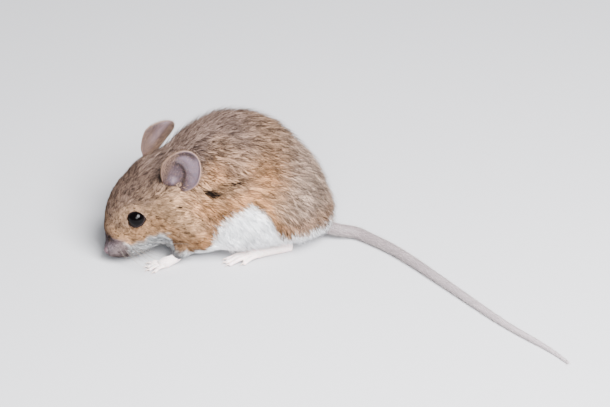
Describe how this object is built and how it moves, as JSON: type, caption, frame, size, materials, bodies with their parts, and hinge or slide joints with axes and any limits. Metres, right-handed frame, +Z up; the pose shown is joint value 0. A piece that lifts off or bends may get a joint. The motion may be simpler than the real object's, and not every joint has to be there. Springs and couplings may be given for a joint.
{
  "type": "field mouse",
  "caption": "Life-size wood mouse crouching with its nose to the ground, body hunched, head turned to its left and long tail laid out behind.",
  "frame": {"origin": "on the floor, below the middle of the whole outline, tail included", "axes": "+Z up; the mouse looks towards -X with its head turned towards -Y, which is its left side; its tail is laid towards +X and -Y"},
  "size_m": [0.1246, 0.0766, 0.0391],
  "materials": {
    "coat": "soft short fur, tawny above and white below",
    "ear_skin": "thin bare skin, matt, greyish mauve with a pale rim",
    "nose_skin": "bare skin, slightly moist, greyish pink",
    "foot_skin": "pale pink skin under very short white hair",
    "tail_skin": "finely ringed scaly skin, greyish lilac",
    "eye": "wet, glossy black"
  },
  "bodies": {
    "root": {"head": "coat", "lower_jaw": "coat", "nose": "nose_skin", "neck": "coat", "trunk": "coat", "ear_left": "ear_skin", "ear_right": "ear_skin", "eye_left": "eye", "eye_right": "eye", "foreleg_left": "coat", "foreleg_right": "coat", "forearm_left": "coat", "forearm_right": "coat", "forepaw_left": "foot_skin", "forepaw_right": "foot_skin", "hind_leg_left": "coat", "hind_leg_right": "coat", "hind_foot_left": "foot_skin", "hind_foot_right": "foot_skin", "tail_1": "tail_skin", "tail_2": "tail_skin", "tail_3": "tail_skin", "tail_4": "tail_skin"}
  },
  "joints": []
}
